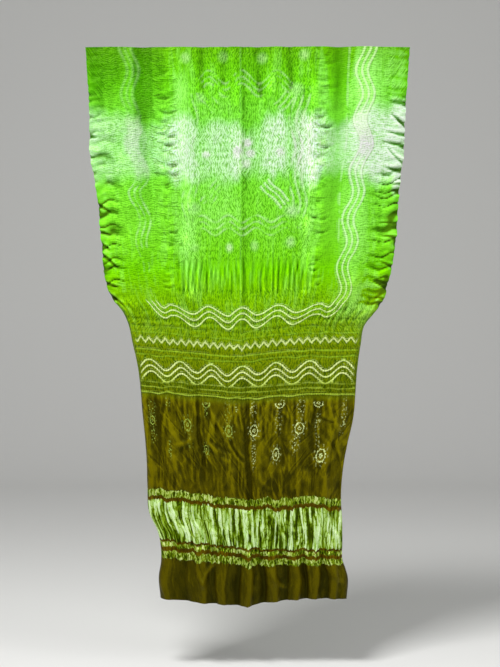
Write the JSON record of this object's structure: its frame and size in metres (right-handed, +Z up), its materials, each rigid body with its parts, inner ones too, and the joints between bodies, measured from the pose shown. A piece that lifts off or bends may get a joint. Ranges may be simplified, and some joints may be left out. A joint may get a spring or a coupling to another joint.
{
  "type": "bandhani cloth hung face on",
  "caption": "Hanging tie-dyed satin silk length, crinkled by its ties, with ruffled selvedges, pleated metal-thread bands and a fluted plain end.",
  "frame": {"origin": "middle of the top edge, where the cloth is held", "axes": "+Z up, front face towards -Y, +X to the right seen from the front"},
  "size_m": [0.7605, 0.0386, 1.3067],
  "materials": {
    "dyed_silk": "crinkled satin, tie-dyed green to olive, woven bands of metal thread"
  },
  "bodies": {
    "root": {"bandhani_cloth": "dyed_silk"}
  },
  "joints": []
}
